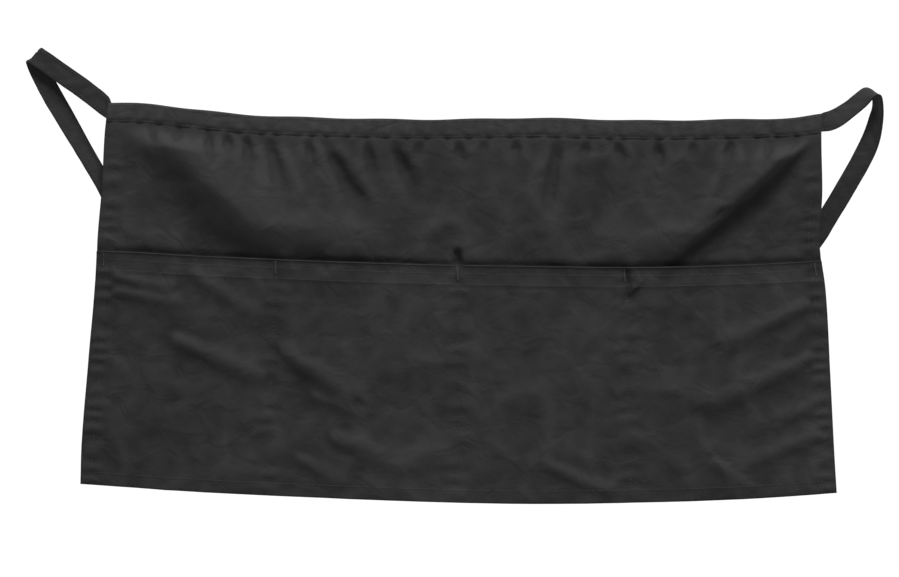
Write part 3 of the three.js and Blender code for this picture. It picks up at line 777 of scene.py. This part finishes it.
def tie_rows(rows, side):
    """The tie's rows in metres, with its sewn end at the band and its end at the knot."""
    edge = 0.0 if side < 0 else 1.0
    middle = BAND_HEIGHT / 2 / APRON_DROP
    band_end = (float(cloth_x(edge, middle)), band_y(edge), float(cloth_z(edge, middle)))
    lean = cloth_x(edge, 0.0) - cloth_x(edge, BAND_SHARE)
    stand = cloth_z(edge, 0.0) - cloth_z(edge, BAND_SHARE)
    end_slant = math.degrees(math.atan2(stand, lean))
    laid = [(band_end[0] - side * TUCKED_IN, band_end[1], band_end[2], end_slant, 0)]
    for row in rows:
        x = side * TOP_WIDTH / 2 * row["out"]
        y = band_end[1] + WAIST_DEPTH * row["back"]
        laid.append((x, y, TIE_SAG * row["up"], row["slant"], row["turn"]))
    laid.append((side * (KNOT_WIDTH / 2 + SEWN_GAP), band_end[1] + WAIST_DEPTH, -TIE_SAG, 90, 0))
    return table("step x y z slant turn", *[(i, *row) for i, row in enumerate(laid)])


def tie_sections(rows, steps):
    """Middle, direction across and outward face of the tie at each step."""
    last = len(rows) - 1

    def middle(at):
        return np.stack([read_table(rows, "step", axis, at) for axis in "xyz"], axis=-1)

    along = middle(np.minimum(steps + 0.05, last)) - middle(np.maximum(steps - 0.05, 0))
    along /= np.linalg.norm(along, axis=1)[:, None]
    across = across_tie(read_table(rows, "step", "slant", steps), read_table(rows, "step", "turn", steps))
    face = np.cross(along, across)
    face /= np.linalg.norm(face, axis=1)[:, None]
    return middle(steps), across, face


def make_tie(name, rows, side, node):
    rows = tie_rows(rows, side)
    last = len(rows) - 1
    steps = np.linspace(0, last, last * 16 + 1)
    middle, across_dir, face = tie_sections(rows, steps)
    travelled = np.concatenate([[0], np.cumsum(np.linalg.norm(np.diff(middle, axis=0), axis=1))])
    length = float(travelled[-1])
    columns = shares((0, 0.12, 2), (0.12, 0.88, 8), (0.88, 1, 2))

    def place(across, down):
        i = np.rint(down * (len(steps) - 1)).astype(int)
        offset = (across - 0.5) * TIE_WIDTH
        crinkle = 0.26 * np.sin(travelled[i] / (3.4 * MM) + 2 * np.sin(across * 5 + travelled[i] / (9 * MM)))
        crinkle = crinkle + 0.3 * np.sin(travelled[i] / (11 * MM) + 3 * across)
        groove = -0.18 * np.exp(-((np.abs(across - 0.5) - 0.36) / 0.05) ** 2)
        ends = ease(travelled[i], 0, 6 * MM) * ease(length - travelled[i], 0, 6 * MM)
        out = TIE_THICKNESS / 2 + MM * ends * (crinkle * (1 - (2 * across - 1) ** 2) + groove)
        offset = offset * mix(0.86, 1, ease(travelled[i], 0, 9 * MM))
        spot = middle[i] + across_dir[i] * offset[:, None] + face[i] * out[:, None]
        return spot[:, 0], spot[:, 1], spot[:, 2]

    piece, across, down = cloth_grid(name, columns, np.arange(len(steps)) / (len(steps) - 1), place)
    along = travelled[np.rint(down * (len(steps) - 1)).astype(int)]
    set_uv(piece, across, along / length, TIE_WIDTH, length)
    set_wear_and_shade(piece, tie_edge_shade(across))
    give_thickness(piece, TIE_THICKNESS, np.ones(len(across)))
    finish_piece(piece, TIE_TWILL, "tie_twill", node)
    return rows, steps, length


def make_knot():
    """The hidden knot and the two free ends below it."""
    centre = Vector((0, band_y(0.0) + WAIST_DEPTH, -TIE_SAG))
    bpy.ops.object.select_all(action="DESELECT")
    bpy.ops.mesh.primitive_uv_sphere_add(segments=48, ring_count=32, radius=1, location=(0, 0, 0))
    knot = bpy.context.object
    knot.name = knot.data.name = "knot_cloth"
    ball = np.empty(len(knot.data.vertices) * 3)
    knot.data.vertices.foreach_get("co", ball)
    ball = ball.reshape(-1, 3)
    pressed = np.sign(ball) * np.abs(ball) ** 0.6
    wrap = 1 - 0.12 * np.exp(-((np.abs(ball[:, 0] + 0.35 * ball[:, 2]) - 0.42) / 0.09) ** 2)
    fold = 1 - 0.05 * np.exp(-((ball[:, 2] - 0.2 * ball[:, 0]) / 0.12) ** 2)
    size = np.array([KNOT_WIDTH, KNOT_DEPTH, KNOT_HEIGHT]) / 2
    spots = pressed * size * (wrap * fold)[:, None] + np.array(centre)
    knot.data.vertices.foreach_set("co", spots.ravel())
    set_wear_and_shade(knot, np.zeros(len(spots)))
    knot.data.uv_layers[0].name = "flat_cloth"
    scale_uv(knot, 2.2 * KNOT_WIDTH, KNOT_HEIGHT)
    bpy.ops.object.shade_smooth()
    finish_piece(knot, TIE_TWILL, "tie_twill", "tie_knot")
    for side, name in ((-1, "tail_left"), (1, "tail_right")):
        make_tail(name, side, centre)


def scale_uv(piece, width, length):
    layer = piece.data.uv_layers["flat_cloth"]
    places = np.empty(len(layer.data) * 2)
    layer.data.foreach_get("uv", places)
    layer.data.foreach_set("uv", (places.reshape(-1, 2) * (width, length)).ravel())


def make_tail(name, side, centre):
    spread = math.radians(9)
    start = KNOT_HEIGHT * 0.3
    columns = shares((0, 1, 12))
    rows = shares((0, 1, 36))
    length = TAIL_LENGTH + KNOT_HEIGHT / 2 - start

    def place(across, down):
        travelled = start + down * length
        offset = (across - 0.5) * TIE_WIDTH * mix(0.8, 1, ease(down, 0, 0.4))
        bend = 1.2 * MM * np.sin(down * 4 + side) * ease(down, 0.1, 0.5)
        x = side * (KNOT_WIDTH / 6 + travelled * math.sin(spread)) + offset * math.cos(spread)
        z = centre.z - travelled * math.cos(spread) + side * offset * math.sin(spread)
        y = centre.y + side * KNOT_DEPTH / 6 + bend - TIE_THICKNESS / 2
        return x, y, z

    piece, across, down = cloth_grid(name, columns, rows, place)
    set_uv(piece, across, down, TIE_WIDTH, length)
    set_wear_and_shade(piece, tie_edge_shade(across))
    give_thickness(piece, TIE_THICKNESS, np.ones(len(across)))
    finish_piece(piece, TIE_TWILL, "tie_twill")


# Stitches


def one_stitch():
    """A short thread stitch, one unit long, lying along X with its top towards Z."""
    bpy.ops.object.select_all(action="DESELECT")
    bpy.ops.mesh.primitive_uv_sphere_add(segments=6, ring_count=4, radius=0.5, location=(0, 0, 0))
    ball = bpy.context.object
    bpy.ops.transform.rotate(value=math.radians(90), orient_axis="Y", center_override=(0, 0, 0))
    bpy.ops.object.transform_apply(location=True, rotation=True, scale=True)
    points = np.array([vertex.co[:] for vertex in ball.data.vertices])
    faces = [list(face.vertices) for face in ball.data.polygons]
    bpy.data.objects.remove(ball)
    return points, faces


def lay_stitches(name, lines, pitch, thickness, material):
    """One mesh of stitches along lines. A line is its places and their outward directions."""
    points, faces = one_stitch()
    size = np.array([pitch * 0.78, thickness * 1.15, thickness])
    spots, corners = [], []
    for places, outward in lines:
        travelled = np.concatenate([[0], np.cumsum(np.linalg.norm(np.diff(places, axis=0), axis=1))])
        for middle in np.arange(pitch / 2, travelled[-1], pitch):
            ends = [
                np.array([np.interp(middle + reach, travelled, places[:, k]) for k in range(3)])
                for reach in (-pitch / 2, pitch / 2)
            ]
            out = np.array([np.interp(middle, travelled, outward[:, k]) for k in range(3)])
            along = (ends[1] - ends[0]) / max(np.linalg.norm(ends[1] - ends[0]), 1e-9)
            aside = np.cross(out, along)
            aside /= max(np.linalg.norm(aside), 1e-9)
            up = np.cross(along, aside)
            turned = (points * size) @ np.stack([along, aside, up])
            first = len(spots) * len(points)
            spots.append(turned + (ends[0] + ends[1]) / 2 + up * thickness * 0.2)
            corners.extend([[first + k for k in face] for face in faces])
    mesh = bpy.data.meshes.new(name)
    mesh.from_pydata(np.concatenate(spots).tolist(), [], corners)
    mesh.shade_smooth()
    piece = bpy.data.objects.new(name, mesh)
    bpy.context.collection.objects.link(piece)
    finish_piece(piece, material, "thread")
    return piece


def sheet_line(across, down, depth_at, proud):
    """Places on a cloth's front along a line, with the way that it faces."""
    across, down = np.broadcast_arrays(np.asarray(across, float), np.asarray(down, float))

    def spot(a, d):
        return np.stack([cloth_x(a, d), depth_at(a, d) - proud, cloth_z(a, d)], axis=1)

    step = 0.0015
    right = spot(across + step, down) - spot(across - step, down)
    up = spot(across, down - step) - spot(across, down + step)
    outward = np.cross(right, up)
    outward /= np.linalg.norm(outward, axis=1)[:, None]
    return spot(across, down), outward


def back_line(across, down, thickness):
    """The same for the apron's back, where the cloth is so thick."""
    places, outward = sheet_line(across, down, lambda a, d: apron_front(a, d) + thickness, -0.05 * MM)
    return places, -outward


def make_panel_stitches():
    """Topstitching of the side hems, bottom hem and pocket seams, on both faces, and of the pocket mouth, on
    its front.
    """
    inset = SIDE_HEM * HEM_STITCH / HEM_WIDTH
    foot = 1 - BOTTOM_HEM * HEM_STITCH / APRON_DROP
    down_upper = np.linspace(BAND_SHARE * 1.03, MOUTH_SHARE, 120)
    down_lower = np.linspace(MOUTH_SHARE + 0.002, foot, 200)
    full = np.linspace(inset, 1 - inset, 500)
    lines = []
    for across in (inset, 1 - inset):
        lines.append(sheet_line(across, down_upper, apron_front, 0))
        lines.append(sheet_line(across, down_lower, pocket_front, 0))
        lines.append(back_line(across, down_upper, 2 * CLOTH))
        lines.append(back_line(across, down_lower, 2 * CLOTH))
    lines.append(sheet_line(full, foot, pocket_front, 0))
    lines.append(back_line(full, foot, 2 * CLOTH))
    for below in (6.4 * MM, MOUTH_HEM - 1.2 * MM):
        lines.append(sheet_line(full, MOUTH_SHARE + below / APRON_DROP, pocket_front, 0))
    for seam in POCKET_SEAMS[1:-1]:
        for aside in (-0.9 * MM, 0.9 * MM):
            across = seam + aside / HEM_WIDTH
            lines.append(sheet_line(across, down_lower, pocket_front, 0))
            lines.append(back_line(across, down_lower, CLOTH))
    return lay_stitches("panel_stitches", lines, STITCH_PITCH, THREAD_WIDTH, THREAD)


def make_band_stitches():
    """The line that sews the band down, seen on both faces, and a fine one along its top."""
    across = np.linspace(0.003, 0.997, 500)

    def band_line(below, depth, facing):
        share = below / APRON_DROP
        places = np.stack([cloth_x(across, share), band_y(across) + depth, cloth_z(across, share)], axis=1)
        return places, np.tile((0.0, facing, 0.0), (len(across), 1))

    lines = []
    for below in (BAND_STITCH, 1.9 * MM):
        lines.append(band_line(below, -band_swell(below) - band_pucker(across, below) * sewn_down(below), -1.0))
    lines.append(band_line(BAND_STITCH, BAND_DEPTH / 2, 1.0))
    return lay_stitches("band_stitches", lines, STITCH_PITCH, THREAD_WIDTH, THREAD)


def make_tie_stitches(name, rows, steps):
    """A line of stitching near each edge of a tie, on both its faces."""
    middle, across, face = tie_sections(rows, steps)
    lines = []
    for offset in (-0.36, 0.36):
        for side in (-1, 1):
            lift = (TIE_THICKNESS / 2 - (0.16 * MM if side > 0 else 0.0)) * side
            lines.append((middle + across * offset * TIE_WIDTH + face * lift, face * side))
    return lay_stitches(name, lines, STITCH_PITCH, 0.9 * THREAD_WIDTH, THREAD)


def make_bar_tacks():
    """Short dense bars of thread at the ends of the pocket mouth and of its seams."""
    lines = []
    width = 2.6 * MM / HEM_WIDTH
    places = [(seam, MOUTH_SHARE + 0.004, 10 * MM) for seam in POCKET_SEAMS[1:-1]]
    places += [(2.4 * width, MOUTH_SHARE + 0.004, 10 * MM), (1 - 2.4 * width, MOUTH_SHARE + 0.004, 10 * MM)]
    for middle, top, length in places:
        for row in np.arange(0, length, 0.62 * MM):
            across = np.linspace(middle - width / 2, middle + width / 2, 4)
            lines.append(sheet_line(across, top + row / APRON_DROP, pocket_front, 0.15 * MM))
    return lay_stitches("bar_tacks", lines, 2.5 * MM, 0.5 * MM, THREAD)


# The scene around it


def make_stage():
    bpy.ops.object.select_all(action="DESELECT")
    floor_level = cad_bounds[0][2] - 1.0
    bpy.ops.mesh.primitive_circle_add(vertices=96, radius=9.3, fill_type="NGON", location=(0, 0, floor_level))
    floor = bpy.context.object
    floor.name = "studio_floor"
    material = bpy.data.materials.new("pale_floor")
    material.use_nodes = True
    shader = material.node_tree.nodes["Principled BSDF"]
    shader.inputs["Base Color"].default_value = (0.34, 0.34, 0.34, 1)
    shader.inputs["Roughness"].default_value = 0.9
    shader.inputs["Specular IOR Level"].default_value = 0.1
    floor.data.materials.append(material)


def make_light():
    world = bpy.data.worlds.new("studio")
    world.use_nodes = True
    tree = world.node_tree
    background = tree.nodes["Background"]
    way = add_node(tree, "ShaderNodeTexCoord").outputs["Generated"]
    split = add_node(tree, "ShaderNodeSeparateXYZ", Vector=way)
    spread = add_node(tree, "ShaderNodeMapRange", Value=split.outputs["Y"], From_Min=-0.3, From_Max=0.5)
    spread.inputs["To Min"].default_value = 0.36
    spread.inputs["To Max"].default_value = 1.05
    tree.links.new(spread.outputs["Result"], background.inputs["Strength"])
    background.inputs["Color"].default_value = (1, 1, 1, 1)
    bpy.context.scene.world = world
    key = bpy.data.lights.new("key", "SUN")
    key.energy = 6.0
    key.angle = math.radians(22)
    lamp = bpy.data.objects.new("key", key)
    bpy.context.collection.objects.link(lamp)
    towards = Vector((0.14, -0.48, 0.9))
    lamp.rotation_euler = towards.to_track_quat("Z", "Y").to_euler()


def make_camera():
    """A long lens, level with the apron's middle, framed as the photograph is."""
    back = Vector((0, -1, 0))
    camera = bpy.data.cameras.new("camera")
    camera.sensor_width = 36
    camera.lens = camera.sensor_width * -CAMERA_PLACE[1] * PIXELS_PER_METRE / PHOTO_WIDTH
    view = bpy.data.objects.new("camera", camera)
    bpy.context.collection.objects.link(view)
    view.location = CAMERA_PLACE
    view.rotation_euler = back.to_track_quat("Z", "Y").to_euler()
    bpy.context.scene.camera = view


make_camera()
make_stage()
make_light()
bpy.context.scene.view_settings.view_transform = "Standard"

APRON_TWILL = twill("apron_twill", 0.0148)
POCKET_TWILL = twill("pocket_twill", 0.0148)
# The band is the same twill with a lighter colour: painted light, for the band's top that faces the light.
BAND_TWILL_PAINTED_LIGHT = twill("band_twill", 0.021, sheen=0.3)
TIE_TWILL = twill("tie_twill", 0.0135)
THREAD = thread_material("black_thread", 0.014)

make_apron_cloth()
make_pocket_cloth()
make_waistband()
left_rows, left_steps, left_length = make_tie("tie_left_cloth", LEFT_TIE, -1, "tie_left")
right_rows, right_steps, right_length = make_tie("tie_right_cloth", RIGHT_TIE, 1, "tie_right")
make_knot()
make_panel_stitches()
make_band_stitches()
make_tie_stitches("tie_left_stitches", left_rows, left_steps)
make_tie_stitches("tie_right_stitches", right_rows, right_steps)
make_bar_tacks()
